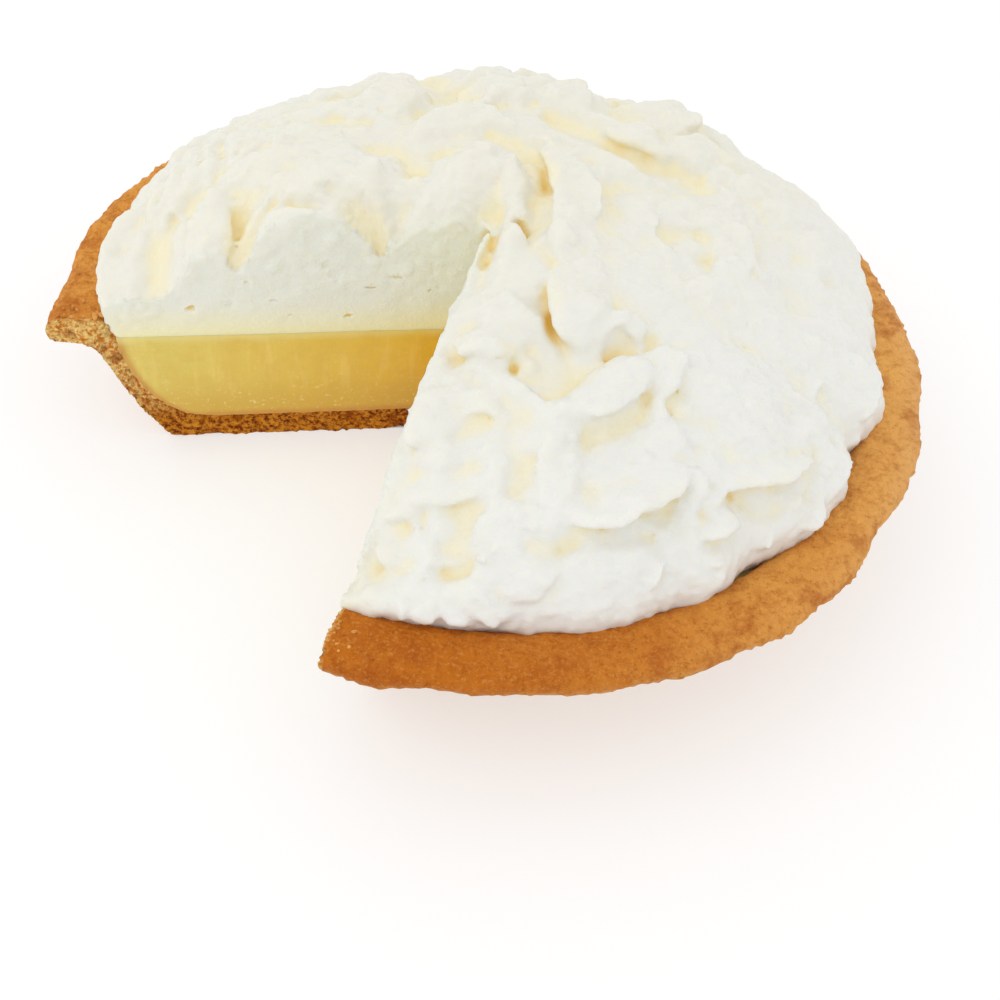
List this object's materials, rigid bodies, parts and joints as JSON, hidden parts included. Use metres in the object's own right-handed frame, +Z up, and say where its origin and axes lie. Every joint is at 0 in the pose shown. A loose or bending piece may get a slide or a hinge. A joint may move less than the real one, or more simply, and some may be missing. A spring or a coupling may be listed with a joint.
{
  "type": "lemon cream pie",
  "caption": "Round lemon cream pie with a slice taken out: baked crumb crust, lemon custard filling and a heaped top of folded whipped cream.",
  "frame": {"origin": "centre of the pie's round base, on the surface that it stands on", "axes": "+Z up out of the cream, +Y away from the viewer, with the missing slice toward -X and -Y"},
  "size_m": [0.2437, 0.2443, 0.087],
  "materials": {
    "crust": "golden brown baked crumb crust, dry and matte",
    "lemon_filling": "smooth yellow lemon custard with a moist sheen",
    "whipped_cream": "soft off-white whipped cream, satin"
  },
  "bodies": {
    "root": {"crust": "crust", "lemon_filling": "lemon_filling", "whipped_cream": "whipped_cream"}
  },
  "joints": []
}
